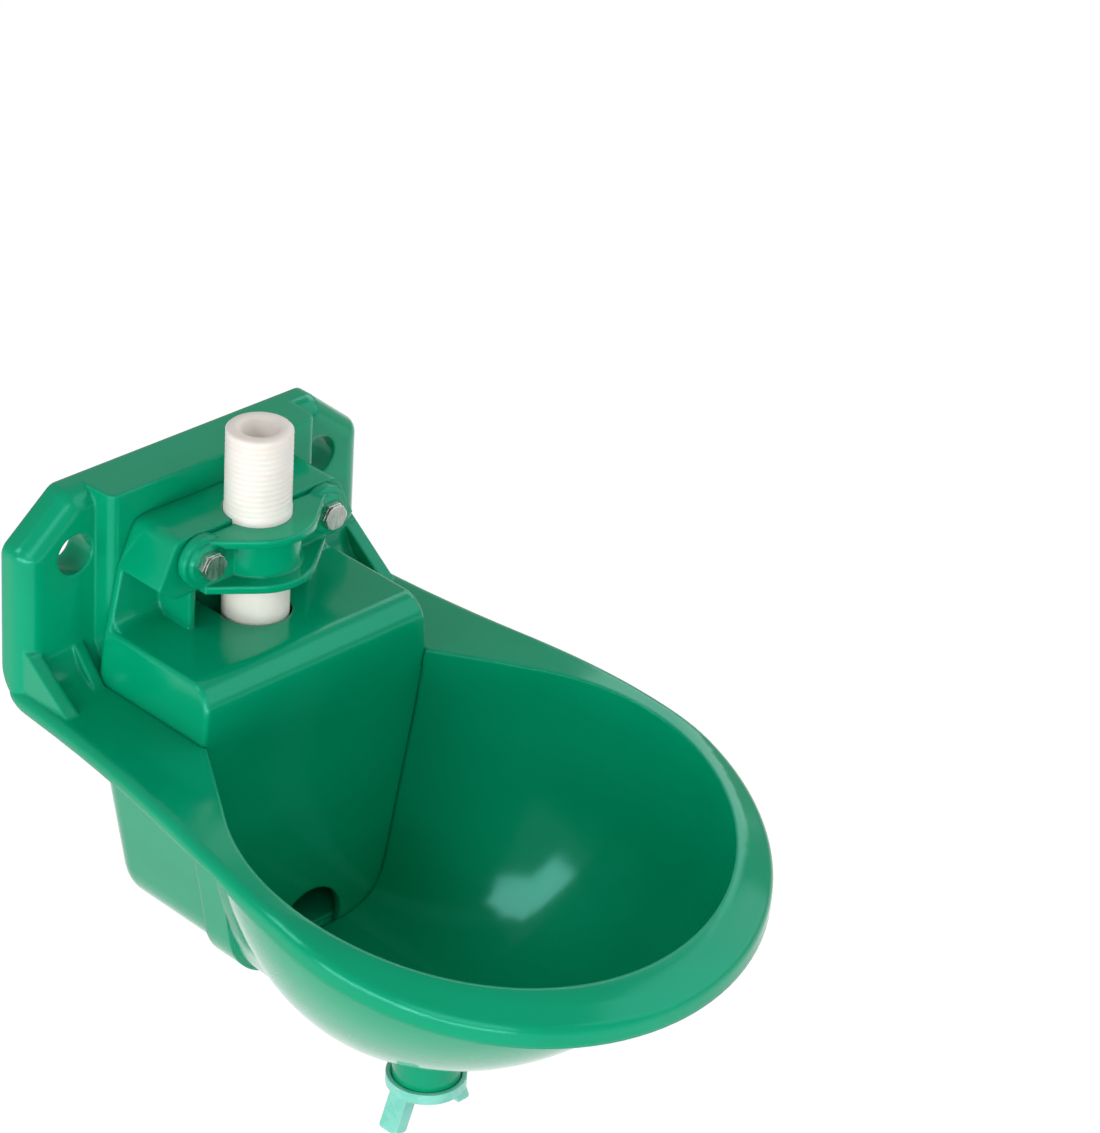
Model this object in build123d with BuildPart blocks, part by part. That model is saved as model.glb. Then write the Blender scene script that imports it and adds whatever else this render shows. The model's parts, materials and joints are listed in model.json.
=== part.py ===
"""Wall-hung livestock drinking bowl with a float valve, built as separate pieces.

Millimetres. The wall is the plane y = 0, the bowl reaches towards -Y and +Z is up.
The origin lies midway between the two wall holes.
"""
import os
from math import acos, atan2, cos, radians, sin, sqrt

from build123d import *

os.makedirs("parts", exist_ok=True)

# General clearances
gap = 0.3
panel_gap = 0.4
pipe_slip = 0.06
pin_slip = 0.05

# Overlap of joined shapes, and the size of blocks that only cut away
bury = 1.0
cut_block = 60.0

# Wall plate
plate_half = 69.0
plate_top = 20.0
plate_depth = 11.2
plate_top_half = 50.2
plate_corner_z = 4.5
plate_corner_round = 5.0
plate_front_round = 7.0
plate_wall = 3.2
plate_skirt = 4.2
hole_half_spacing = 49.5
hole_radius = 6.8
hole_boss_radius = 10.6
spine_width = 2.4
core_corner_drop = 2.0
back_corner_round = 12.0
plate_root_fillet = 14.0

# Raised block in the middle of the plate, which carries the cover
block_front = 18.6
block_half_base = 41.8
block_half_front = 41.3
block_wall = 3.0
block_core_half = 35.5
block_front_round = 3.0

# Flange and rim
flange_top = -43.3
flange_bottom = -48.2
flange_bend_y = -80.0
rim_half = 85.7
rim_shoulder_share = 0.834
rim_shoulder_y = -110.0
rim_waist_share = 0.423
rim_waist_y = -70.0
rim_waist_slope = 0.06
rim_depth = 82.1
rim_y = -147.2
rim_front_top = -64.8
rim_front_bottom = -73.9
flange_bottom_bend_y = -115.0
rim_plane_z = -48.7
rim_tilt = 13.5
rim_cone_slope = 0.37
rim_round = 3.4
rim_crease_round = 15.0
flange_back_half = 69.4
vessel_burial = 2.0

# Gussets between the plate and the flange
gusset_outer = 67.5
gusset_thickness = 4.7
gusset_back = 4.0
gusset_top = -25.0
gusset_front = 31.0
gusset_toe = -44.3
inner_gusset_outer = 50.6
inner_gusset_thickness = 3.9
inner_gusset_back = 9.0
inner_gusset_top = -28.4
inner_gusset_front = 23.0
inner_gusset_toe = -44.0
core_foot = -36.0

# Bowl, a rounded dish whose axis leans back towards the wall
wall = 3.0
dish_radius = 77.5
dish_top = -45.0
dish_bottom = -133.0
dish_power = 1.8
dish_top_y = -141.5
dish_bottom_y = -116.5
dish_cut_top = -40.0
dish_levels = (-60.0, -80.0, -100.0, -114.0, -124.0, -129.0)
floor_z = -131.0

# Trough under the cover, shared by the panel and the float chamber
trough_top = -42.0
trough_draft = 0.194
panel_half = 45.8
panel_round = 17.0
chamber_half = 45.0
chamber_round = 16.2
chamber_back = 13.5
chamber_corner = 6.0

# Cover panel and its groove in the bowl
sheet = 2.8
panel_front = 67.8
panel_back = panel_front - sheet
groove_depth = 2.0
groove_top = -48.5
rib_half = 50.6
rib_front = 70.5
rib_back = 58.5
notch_radius = 13.0
notch_z = -128.0

# Float cover with its pipe hood
cover_top = -24.5
cover_top_half = 44.2
cover_foot_half = 46.2
cover_front_round = 8.5
cover_side_round = 1.5
cover_back_wall = 2.6
cover_back = block_front + 0.2
hood_top = 10.5
hood_half = 32.5
hood_shoulder_half = 39.4
hood_shoulder_z = -4.6
hood_foot_half = 33.0
hood_foot_z = -9.5
hood_front = 38.5
hood_round = 5.0
hood_root_fillet = 5.0
leg_half = 25.0
leg_thickness = 2.2
leg_front = 36.0
pipe_slot_radius = 11.6

# Clamp and its two M5 bolts
bolt_half_spacing = 24.5
bolt_z = 2.3
bolt_radius = 2.5
bolt_hole_radius = 2.75
bolt_boss_radius = 5.8
bolt_length = 35.0
head_flats = 8.0
head_height = 3.5
head_bevel = 1.0
head_bevel_angle = 55.0
bolt_tip_chamfer = 0.6
washer_outer = 5.0
washer_thickness = 1.0
nut_height = 4.7
clamp_back = 39.5
ear_radius = 8.6
ear_front = 42.6
ear_boss_radius = 6.4
clamp_seat = 43.8
clamp_top = 9.4
clamp_bottom = -9.0
clamp_flange = 2.6
clamp_arch = 18.6
clamp_channel = 14.0

# Inlet pipe, half inch
thread_radius = 10.48
thread_bottom = 12.0
pipe_radius = 10.65
pipe_bore = 5.9
pipe_y = -38.1
pipe_top = 38.5
pipe_bottom = -49.0
pipe_saddle_radius = 13.4
pipe_end_chamfer = 0.5

# Float valve on the lower end of the pipe
valve_radius = 14.2
valve_top = -37.0
valve_neck_top = -46.0
seat_top = -51.0
seat_bottom = -54.0
nozzle_radius = 3.5
nozzle_bottom = -56.5
nozzle_taper = 8.0
orifice_radius = 1.5
orifice_lead = 1.5
valve_room_radius = 9.0
valve_floor_top = -62.3
valve_floor = -64.8
collar_radius = 6.0
collar_bottom = -66.0
plunger_travel = 2.0
plunger_head_radius = 6.0
stem_radius = 3.0
stem_tip_round = 1.5
plunger_tip = -69.5
seal_radius = 4.4
seal_thickness = 1.8
seal_recess = 0.8
window_width = 7.0
window_height = 4.5

# Lever, pin and clip
lever_thickness = 7.4
lever_top = plunger_tip - gap
lever_bottom = lever_top - 4.0
pivot_x = -17.0
pivot_z = (lever_top + lever_bottom) / 2
pin_radius = 1.5
pin_head_radius = 2.6
pin_head_height = 1.5
pin_overhang = 2.0
clip_thickness = 0.8
clip_radius = 3.2
clip_mouth = 2.2
lug_thickness = 2.4
lug_half_width = 4.2
tail_x = -25.0
tail_thickness = 2.4
foot_start_x = 10.0
foot_ramp = 3.0
foot_heel = 4.0
foot_end_x = 24.0
foot_top = -76.0

# Float
float_left = -22.0
float_right = 24.0
float_y = -42.5
float_half_y = 16.5
float_top = -78.0
float_lid_thickness = 2.0
float_bottom = -104.0
float_skin = 1.5
float_corner = 8.0
float_edge = 4.0
screw_x = 17.0
screw_radius = 2.0
screw_head_radius = 3.6
screw_length = 12.0
screw_head_height = 2.2
screw_head_round = 1.0
screw_cross_length = 4.0
screw_cross_width = 0.9
screw_cross_depth = 1.2
screw_boss_radius = 4.6
lid_lip_depth = 2.5

# Drain in the floor of the bowl
drain_y = -123.4
drain_boss_radius = 11.0
drain_boss_bottom = -155.6
drain_bore = 9.2
drain_seat = -140.0
drain_hole = 6.0
plug_rim_radius = 12.8
plug_rim_top = -154.2
plug_rim_bottom = -157.8
plug_shank_radius = drain_bore - gap
plug_neck_radius = 4.0
plug_core_radius = 5.6
plug_core_roof = 3.0
plug_barb = 1.0
wing_width = 7.4
wing_root_inner = 6.6
wing_root_outer = 11.4
wing_tip_inner = 11.8
wing_tip_outer = 16.6
wing_tip_round = 1.8
wing_bottom = -171.0
drain_seal_radius = 8.6
drain_seal_thickness = 1.7


def trough_width(z, top_half, corner, bottom):
    """Half width of a trough outline at one height."""
    slant = sqrt(1 + trough_draft**2)
    centre_z = bottom + corner
    centre_x = top_half - trough_draft * (trough_top - centre_z) - corner * slant
    tangent_z = centre_z - corner * trough_draft / slant
    if z >= tangent_z:
        return top_half - trough_draft * (trough_top - z)
    return centre_x + sqrt(corner**2 - (centre_z - z) ** 2)


def trough_outline(top_half, corner, bottom, top):
    """Trough cross-section in the active sketch, which lies parallel to the wall."""
    high = top_half - trough_draft * (trough_top - top)
    low = top_half - trough_draft * (trough_top - bottom)
    outline = Polygon((-high, top), (high, top), (low, bottom), (-low, bottom), align=None)
    fillet(outline.vertices().group_by(Axis.Y)[0], corner)


def dish_section(z, skin, back_y):
    """One level of the dish: a round front joined by tangents to the panel's edges."""
    depth = (dish_top - z) / (dish_top - dish_bottom + skin)
    share = (1 - max(depth, 0) ** dish_power) ** (1 / dish_power)
    radius = (dish_radius + skin) * share
    centre_y = dish_bottom_y + (dish_top_y - dish_bottom_y) * share
    half = trough_width(z, panel_half + skin, panel_round + skin, floor_z - skin)
    reach = sqrt(half**2 + (back_y - centre_y) ** 2)
    angle = atan2(back_y - centre_y, half) - acos(radius / reach)
    touch = (radius * cos(angle), centre_y + radius * sin(angle))
    with BuildLine() as outline:
        Line((-half, back_y), (half, back_y))
        Line((half, back_y), touch)
        ThreePointArc(touch, (0, centre_y - radius), (-touch[0], touch[1]))
        Line((-touch[0], touch[1]), (-half, back_y))
    make_face(outline.edges())


def hexagon_radius(flats):
    """Corner radius of a hexagon with this size across flats."""
    return flats / sqrt(3)


# The air above the flange and the crowned rim, taken off every piece that reaches up to it
with BuildPart() as open_air:
    rim_front = rim_y - rim_depth
    beyond = rim_front - 20
    with BuildSketch(Plane.YZ):
        with BuildLine():
            Line((10, flange_top), (flange_bend_y, flange_top))
            TangentArc((flange_bend_y, flange_top), (rim_front, rim_front_top), tangent=(-1, 0))
            Line((rim_front, rim_front_top), (beyond, rim_front_top))
            Line((beyond, rim_front_top), (beyond, plate_top))
            Line((beyond, plate_top), (10, plate_top))
            Line((10, plate_top), (10, flange_top))
        make_face()
    extrude(amount=2 * rim_half, both=True)
    lean = radians(rim_tilt)
    crown_top = rim_cone_slope * rim_half
    crown_reach = 1.6 * rim_half
    crown_foot = crown_top - rim_cone_slope * crown_reach
    rim_centre = (0, rim_y, rim_plane_z)
    with BuildSketch(Plane(origin=rim_centre, x_dir=(1, 0, 0), z_dir=(0, -cos(lean), -sin(lean)))):
        Polygon((0, crown_top), (crown_reach, crown_foot), (crown_reach, crown_top), align=None)
    revolve(axis=Axis(rim_centre, (0, -sin(lean), cos(lean))))

# Flange and rim: a plan outline between the air above and a sloping underside
with BuildPart() as flange:
    with BuildSketch(Plane.YZ):
        Polygon(
            (0, plate_top),
            (rim_front, plate_top),
            (rim_front, rim_front_bottom),
            (flange_bottom_bend_y, flange_bottom),
            (0, flange_bottom),
            align=None,
        )
    extrude(amount=rim_half + 1, both=True)
    with BuildSketch(Plane.XY.offset(rim_front_bottom)):
        with BuildLine():
            EllipticalCenterArc((0, rim_y), rim_half, rim_depth, start_angle=-90, arc_size=90)
            flare = rim_half - flange_back_half
            shoulder = (flange_back_half + rim_shoulder_share * flare, rim_shoulder_y)
            waist = (flange_back_half + rim_waist_share * flare, rim_waist_y)
            side_points = [(rim_half, rim_y), shoulder, waist, (flange_back_half, 0)]
            Spline(side_points, tangents=[(0, 1), (-rim_waist_slope, 1)])
            Line((flange_back_half, 0), (0, 0))
            Line((0, 0), (0, rim_front))
        make_face()
        mirror(about=Plane.YZ)
    extrude(amount=plate_top - rim_front_bottom, mode=Mode.INTERSECT)
    add(open_air.part, mode=Mode.SUBTRACT)
    crown = flange.faces().filter_by(GeomType.CONE).edges()
    level = flange.faces().filter_by(GeomType.CYLINDER).edges()
    fillet([e for e in crown if any(e.is_same(other) for other in level)], rim_crease_round)
    upper = flange.faces().filter_by(lambda f: f.normal_at().Z > 0.5).edges()
    around = flange.faces().filter_by(lambda f: abs(f.normal_at().Z) < 0.1 and f.center().Y < -1).edges()
    fillet([e for e in upper if any(e.is_same(other) for other in around)], rim_round)

# Wall plate and block, solid for now
with BuildPart() as wall_plate:
    with BuildSketch(Plane.XZ):
        Polygon(
            (-plate_top_half, plate_top),
            (-plate_half, plate_corner_z),
            (-plate_half, flange_bottom),
            (plate_half, flange_bottom),
            (plate_half, plate_corner_z),
            (plate_top_half, plate_top),
            align=None,
        )
    extrude(amount=plate_depth)
    upright = wall_plate.edges().filter_by(Axis.Y).filter_by(lambda e: e.center().Z > 0)
    fillet(upright, plate_corner_round)
    front_outline = wall_plate.faces().sort_by(Axis.Y)[0].edges()
    fillet(front_outline.filter_by(lambda e: e.center().Z > flange_bottom + 1), plate_front_round)
    block_floor = flange_bottom
    with BuildSketch(Plane.XY.offset(block_floor)):
        Polygon(
            (-block_half_base, -plate_depth + 1),
            (block_half_base, -plate_depth + 1),
            (block_half_front, -block_front),
            (-block_half_front, -block_front),
            align=None,
        )
    extrude(amount=plate_top - block_floor)
    with BuildSketch(Plane.XY.offset(block_floor)):
        Polygon(
            (-block_half_base, 0),
            (block_half_base, 0),
            (block_half_base, -plate_depth),
            (-block_half_base, -plate_depth),
            align=None,
        )
    extrude(amount=plate_top - block_floor)
    block_edges = wall_plate.edges().filter_by(Axis.Z)
    fillet(block_edges.filter_by(lambda e: abs(e.center().Y + block_front) < 0.1), block_front_round)

# Outer skin of the dish, the float chamber and the rib round the cover's panel
with BuildPart() as vessel:
    for level in (flange_top - bury, *dish_levels, floor_z - wall):
        with BuildSketch(Plane.XY.offset(level)):
            dish_section(level, wall, -panel_back)
    loft()
    with BuildSketch(Plane.XZ.offset(chamber_back - wall)):
        trough_outline(chamber_half + wall, chamber_round + wall, floor_z - wall, flange_bottom + bury)
    extrude(amount=panel_front - chamber_back + wall)
    back_face = vessel.faces().sort_by(Axis.Y)[-1]
    fillet(back_face.edges().filter_by(lambda e: e.center().Z < flange_bottom), chamber_corner + wall)
    with BuildSketch(Plane.XZ.offset(rib_back)):
        rib_depth = rib_half - panel_half
        trough_outline(rib_half, panel_round + rib_depth, floor_z - rib_depth, flange_bottom + bury)
    extrude(amount=rib_front - rib_back)
    # Its top stays buried in the flange
    with Locations((0, 0, -vessel_burial)):
        add(open_air.part, mode=Mode.SUBTRACT)

# The room inside the float chamber
with BuildPart() as chamber_room:
    with BuildSketch(Plane.XZ.offset(chamber_back)):
        trough_outline(chamber_half, chamber_round, floor_z, flange_top + bury)
    extrude(amount=panel_back - chamber_back)
    room_back = chamber_room.faces().sort_by(Axis.Y)[-1]
    fillet(room_back.edges().filter_by(lambda e: e.center().Z < flange_top), chamber_corner)

# The bowl body: skins joined, then hollowed out
with BuildPart() as bowl_body:
    add(flange.part)
    add(wall_plate.part)
    wall_foot = bowl_body.edges().filter_by(Axis.X).sort_by(Axis.Z)[0:8]
    wall_foot = [e for e in wall_foot if abs(e.center().Y) < 0.1 and abs(e.center().Z - flange_bottom) < 0.1]
    fillet(wall_foot, back_corner_round)
    add(vessel.part)
    # Hollow root between the plate and the flange, its ends hidden by the outer gussets
    root_y = -plate_depth - plate_root_fillet
    root_z = flange_top + plate_root_fillet
    with BuildSketch(Plane.YZ):
        with BuildLine():
            inside_y = -plate_depth + bury
            inside_z = flange_top - bury
            Line((-plate_depth, root_z), (inside_y, root_z))
            Line((inside_y, root_z), (inside_y, inside_z))
            Line((inside_y, inside_z), (root_y, inside_z))
            Line((root_y, inside_z), (root_y, flange_top))
            RadiusArc((root_y, flange_top), (-plate_depth, root_z), -plate_root_fillet)
        make_face()
    extrude(amount=gusset_outer - bury, both=True)
    with BuildSketch(Plane.XY.offset(flange_top)):
        with Locations((0, -block_front)):
            Rectangle(2 * (cover_foot_half + gap), cut_block, align=(Align.CENTER, Align.MAX))
    extrude(amount=plate_root_fillet + bury, mode=Mode.SUBTRACT)
    # Gussets
    outer_gusset = (gusset_outer, gusset_thickness, gusset_back, gusset_top, gusset_front, gusset_toe)
    inner_gusset = (
        inner_gusset_outer,
        inner_gusset_thickness,
        inner_gusset_back,
        inner_gusset_top,
        inner_gusset_front,
        inner_gusset_toe,
    )
    for outer, thickness, back, top, front, toe in (outer_gusset, inner_gusset):
        foot = toe - bury
        for side in (-1, 1):
            with BuildSketch(Plane.YZ.offset(side * (outer - thickness / 2))):
                Polygon((-back, top), (-back, foot), (-front, foot), (-front, toe), align=None)
            extrude(amount=thickness / 2, both=True)
    # Drain boss under the floor
    with BuildSketch(Plane.XY.offset(drain_boss_bottom)):
        with Locations((0, drain_y)):
            Circle(drain_boss_radius)
    extrude(amount=floor_z - bury - drain_boss_bottom)
    # Inside of the dish
    for level in (dish_cut_top, *dish_levels, floor_z):
        with BuildSketch(Plane.XY.offset(level)):
            dish_section(level, 0, -panel_front - gap)
    loft(mode=Mode.SUBTRACT)
    # Float chamber and the seat of the cover's panel
    add(chamber_room.part, mode=Mode.SUBTRACT)
    with BuildSketch(Plane.XZ.offset(panel_back - gap)):
        trough_outline(panel_half, panel_round, floor_z, flange_top + bury)
    extrude(amount=sheet + 2 * gap, mode=Mode.SUBTRACT)
    with BuildSketch(Plane.XZ.offset(panel_back - gap)):
        groove_half = panel_half + groove_depth
        trough_outline(groove_half, panel_round + groove_depth, floor_z - groove_depth, groove_top)
    extrude(amount=sheet + 2 * gap, mode=Mode.SUBTRACT)
    # Drain passage
    with BuildSketch(Plane.XY.offset(drain_boss_bottom)):
        with Locations((0, drain_y)):
            Circle(drain_bore)
    extrude(amount=drain_seat - drain_boss_bottom, mode=Mode.SUBTRACT)
    with BuildSketch(Plane.XY.offset(drain_seat)):
        with Locations((0, drain_y)):
            Circle(drain_hole)
    extrude(amount=floor_z + bury - drain_seat, mode=Mode.SUBTRACT)
    # Back of the plate cored out, leaving bosses round the wall holes and a spine
    core_top = plate_top - plate_wall
    core_half = plate_half - plate_skirt
    with BuildSketch(Plane.XZ):
        Polygon(
            (-plate_top_half + plate_wall, core_top),
            (-core_half, plate_corner_z - core_corner_drop),
            (-core_half, core_foot),
            (core_half, core_foot),
            (core_half, plate_corner_z - core_corner_drop),
            (plate_top_half - plate_wall, core_top),
            align=None,
        )
        with Locations((-hole_half_spacing, 0), (hole_half_spacing, 0)):
            Circle(hole_boss_radius, mode=Mode.SUBTRACT)
            Rectangle(spine_width, 2 * cut_block, mode=Mode.SUBTRACT)
    extrude(amount=plate_depth - plate_wall, mode=Mode.SUBTRACT)
    with BuildSketch(Plane.XZ):
        Polygon(
            (-block_core_half, core_top),
            (-block_core_half, core_foot),
            (block_core_half, core_foot),
            (block_core_half, core_top),
            align=None,
        )
    extrude(amount=block_front - block_wall, mode=Mode.SUBTRACT)
    with BuildSketch(Plane.XZ):
        with Locations((-hole_half_spacing, 0), (hole_half_spacing, 0)):
            Circle(hole_radius)
    extrude(amount=block_front, mode=Mode.SUBTRACT)
    with BuildSketch(Plane.XZ):
        with Locations((-bolt_half_spacing, bolt_z), (bolt_half_spacing, bolt_z)):
            Circle(bolt_hole_radius)
    extrude(amount=block_front + bury, mode=Mode.SUBTRACT)
bowl_body.part.label = "bowl_body"
export_step(bowl_body.part, "parts/bowl_body.step")

# Float cover: box over the float, panel down into the bowl and hood over the pipe, one moulding
with BuildPart() as float_cover:
    cover_draft = (cover_foot_half - cover_top_half) / (cover_top - flange_top)
    cover_foot = flange_top + gap
    with BuildSketch(Plane.XZ.offset(cover_back)):
        Polygon(
            (-cover_top_half, cover_top),
            (cover_top_half, cover_top),
            (cover_foot_half, cover_foot),
            (-cover_foot_half, cover_foot),
            align=None,
        )
    extrude(amount=panel_front - cover_back)
    front_top = float_cover.faces().sort_by(Axis.Y)[0].edges().sort_by(Axis.Z)[-1]
    fillet(front_top, cover_front_round)
    top_face = float_cover.faces().filter_by(Axis.Z).sort_by(Axis.Z)[-1]
    fillet(top_face.edges().filter_by(Axis.Y), cover_side_round)
    # Inside of the box
    with BuildSketch(Plane.XZ.offset(cover_back + cover_back_wall)):
        Polygon(
            (-cover_top_half + sheet, cover_top - sheet),
            (cover_top_half - sheet, cover_top - sheet),
            (cover_foot_half - sheet, cover_foot),
            (-cover_foot_half + sheet, cover_foot),
            align=None,
        )
    extrude(amount=panel_back - cover_back - cover_back_wall, mode=Mode.SUBTRACT)
    front_inner = float_cover.edges().filter_by(Axis.X).filter_by(
        lambda e: abs(e.center().Y + panel_back) < 0.1 and abs(e.center().Z - cover_top + sheet) < 0.1
    )
    fillet(front_inner, cover_front_round - sheet)
    # Panel down to the floor, with a tongue that runs in the bowl's groove
    with BuildSketch(Plane.XZ.offset(panel_back)):
        trough_outline(panel_half - panel_gap, panel_round - panel_gap, floor_z + gap, cover_foot)
    extrude(amount=sheet)
    with BuildSketch(Plane.XZ.offset(panel_back)):
        trough_outline(
            groove_half - panel_gap,
            panel_round + groove_depth - panel_gap,
            floor_z - groove_depth + gap,
            groove_top - 2 * panel_gap,
        )
    extrude(amount=sheet)
    with BuildSketch(Plane.XZ.offset(panel_back)):
        with Locations((0, notch_z)):
            Circle(notch_radius)
    extrude(amount=sheet, mode=Mode.SUBTRACT)
    # Back plate and hood
    with BuildSketch(Plane.XZ.offset(cover_back)):
        Polygon(
            (-cover_top_half, cover_top - bury),
            (-hood_shoulder_half, hood_shoulder_z),
            (-hood_half, hood_top),
            (hood_half, hood_top),
            (hood_shoulder_half, hood_shoulder_z),
            (cover_top_half, cover_top - bury),
            align=None,
        )
    extrude(amount=cover_back_wall)
    with BuildSketch(Plane.XZ.offset(cover_back)):
        Polygon(
            (-hood_shoulder_half, hood_shoulder_z),
            (-hood_half, hood_top),
            (hood_half, hood_top),
            (hood_shoulder_half, hood_shoulder_z),
            (hood_foot_half, hood_foot_z),
            (-hood_foot_half, hood_foot_z),
            align=None,
        )
    extrude(amount=hood_front - cover_back)
    hood_roof = float_cover.faces().sort_by(Axis.Z)[-1]
    fillet(hood_roof.edges().filter_by(Axis.Y), hood_round)
    with BuildSketch(Plane.XZ.offset(cover_back + cover_back_wall)):
        Polygon(
            (-hood_shoulder_half + sheet, hood_shoulder_z),
            (-hood_half + sheet, hood_top - sheet),
            (hood_half - sheet, hood_top - sheet),
            (hood_shoulder_half - sheet, hood_shoulder_z),
            (hood_shoulder_half - sheet, hood_foot_z),
            (-hood_shoulder_half + sheet, hood_foot_z),
            align=None,
        )
    extrude(amount=hood_front - cover_back - cover_back_wall - sheet, mode=Mode.SUBTRACT)
    # Bolt bosses and the saddle for the pipe, inside the hood
    with BuildSketch(Plane.XZ.offset(cover_back)):
        with Locations((-bolt_half_spacing, bolt_z), (bolt_half_spacing, bolt_z)):
            Circle(bolt_boss_radius)
    extrude(amount=hood_front - cover_back)
    with BuildSketch(Plane.XY.offset(hood_foot_z)):
        with Locations((0, pipe_y)):
            Circle(pipe_saddle_radius)
        with Locations((0, -hood_front)):
            Rectangle(cut_block, cut_block, align=(Align.CENTER, Align.MAX), mode=Mode.SUBTRACT)
    extrude(amount=hood_top - hood_foot_z)
    # Legs under the hood
    for side in (-1, 1):
        with BuildSketch(Plane.YZ.offset(side * (leg_half - leg_thickness / 2))):
            Polygon(
                (-cover_back, cover_top - bury),
                (-leg_front, cover_top - bury),
                (-leg_front, hood_foot_z + bury),
                (-cover_back, hood_foot_z + bury),
                align=None,
            )
        extrude(amount=leg_thickness / 2, both=True)
    # Rounded root between the box's top and the back plate
    with BuildSketch(Plane.YZ):
        corner_y = -cover_back - cover_back_wall
        arc_top = (corner_y, cover_top + hood_root_fillet)
        arc_foot = (corner_y - hood_root_fillet, cover_top)
        with BuildLine():
            Line((corner_y + bury, cover_top - bury), (corner_y + bury, arc_top[1]))
            Line((corner_y + bury, arc_top[1]), arc_top)
            RadiusArc(arc_top, arc_foot, hood_root_fillet)
            Line(arc_foot, (arc_foot[0], cover_top - bury))
            Line((arc_foot[0], cover_top - bury), (corner_y + bury, cover_top - bury))
        make_face()
    extrude(amount=cover_top_half - cover_side_round, both=True)
    # Openings for the pipe and the bolts
    with BuildSketch(Plane.XY.offset(cover_top - sheet - bury)):
        with Locations((0, pipe_y)):
            Circle(pipe_slot_radius)
        with Locations((0, corner_y)):
            Rectangle(2 * pipe_slot_radius, corner_y - pipe_y, align=(Align.CENTER, Align.MAX))
    extrude(amount=sheet + 2 * bury + hood_root_fillet, mode=Mode.SUBTRACT)
    with BuildSketch(Plane.XY.offset(hood_foot_z)):
        with Locations((0, pipe_y)):
            Circle(pipe_radius + pipe_slip)
    extrude(amount=hood_top - hood_foot_z, mode=Mode.SUBTRACT)
    with BuildSketch(Plane.XZ.offset(cover_back)):
        with Locations((-bolt_half_spacing, bolt_z), (bolt_half_spacing, bolt_z)):
            Circle(bolt_hole_radius)
    extrude(amount=hood_front - cover_back, mode=Mode.SUBTRACT)
float_cover.part.label = "float_cover"
export_step(float_cover.part, "parts/float_cover.step")

# Pipe clamp: an arched channel with an ear for each bolt
arch_reach = sqrt(bolt_half_spacing**2 + (ear_front + pipe_y) ** 2)
arch_angle = atan2(-ear_front - pipe_y, bolt_half_spacing) - acos(clamp_arch / arch_reach)
arch_touch = (clamp_arch * cos(arch_angle), pipe_y + clamp_arch * sin(arch_angle))
with BuildPart() as pipe_clamp:
    for base in (clamp_bottom, clamp_top - clamp_flange):
        with BuildSketch(Plane.XY.offset(base)):
            with BuildLine():
                Line((-bolt_half_spacing, -clamp_back), (bolt_half_spacing, -clamp_back))
                Line((bolt_half_spacing, -clamp_back), (bolt_half_spacing, -ear_front))
                Line((bolt_half_spacing, -ear_front), arch_touch)
                ThreePointArc(arch_touch, (0, pipe_y - clamp_arch), (-arch_touch[0], arch_touch[1]))
                Line((-arch_touch[0], arch_touch[1]), (-bolt_half_spacing, -ear_front))
                Line((-bolt_half_spacing, -ear_front), (-bolt_half_spacing, -clamp_back))
            make_face()
        extrude(amount=clamp_flange)
    with BuildSketch(Plane.XY.offset(clamp_bottom)):
        with Locations((0, pipe_y)):
            Circle(clamp_channel)
        with Locations((0, -clamp_back)):
            Rectangle(2 * bolt_half_spacing, ear_front - clamp_back, align=(Align.CENTER, Align.MAX))
        with Locations((0, -clamp_back)):
            Rectangle(cut_block, cut_block, align=(Align.CENTER, Align.MIN), mode=Mode.SUBTRACT)
    extrude(amount=clamp_top - clamp_bottom)
    with BuildSketch(Plane.XZ.offset(clamp_back)):
        with Locations((-bolt_half_spacing, bolt_z), (bolt_half_spacing, bolt_z)):
            Circle(ear_radius)
    extrude(amount=ear_front - clamp_back)
    with BuildSketch(Plane.XZ.offset(clamp_back)):
        with Locations((-bolt_half_spacing, bolt_z), (bolt_half_spacing, bolt_z)):
            Circle(ear_boss_radius)
    extrude(amount=clamp_seat - clamp_back)
    with BuildSketch(Plane.XY.offset(clamp_bottom)):
        with Locations((0, pipe_y)):
            Circle(pipe_radius + pipe_slip)
    extrude(amount=clamp_top - clamp_bottom, mode=Mode.SUBTRACT)
    with BuildSketch(Plane.XZ.offset(clamp_back)):
        with Locations((-bolt_half_spacing, bolt_z), (bolt_half_spacing, bolt_z)):
            Circle(bolt_hole_radius)
    extrude(amount=clamp_seat - clamp_back + bury, mode=Mode.SUBTRACT)
    # Clear room for the bolt heads in the channel
    with BuildSketch(Plane.XZ.offset(clamp_seat)):
        with Locations((-bolt_half_spacing, bolt_z), (bolt_half_spacing, bolt_z)):
            Circle(ear_boss_radius)
    extrude(amount=cut_block, mode=Mode.SUBTRACT)
pipe_clamp.part.label = "pipe_clamp"
export_step(pipe_clamp.part, "parts/pipe_clamp.step")

# Two M5 hexagon bolts with washers and nuts behind the block's wall
bolt_places = [(-bolt_half_spacing, bolt_z), (bolt_half_spacing, bolt_z)]
with BuildPart() as clamp_bolts:
    with BuildSketch(Plane.XZ.offset(clamp_seat)):
        with Locations(*bolt_places):
            RegularPolygon(hexagon_radius(head_flats), 6)
    extrude(amount=head_height)
    with BuildSketch(Plane.XZ.offset(clamp_seat + head_height)):
        with Locations(*bolt_places):
            Circle(head_flats)
            Circle(head_flats / 2 + gap, mode=Mode.SUBTRACT)
    extrude(amount=-head_bevel, taper=-head_bevel_angle, mode=Mode.SUBTRACT)
    with BuildSketch(Plane.XZ.offset(clamp_seat - bolt_length)):
        with Locations(*bolt_places):
            Circle(bolt_radius)
    extrude(amount=bolt_length)
    chamfer(clamp_bolts.faces().sort_by(Axis.Y)[-2:].edges(), bolt_tip_chamfer)
clamp_bolts.part.label = "clamp_bolts"
export_step(clamp_bolts.part, "parts/clamp_bolts.step")

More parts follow.
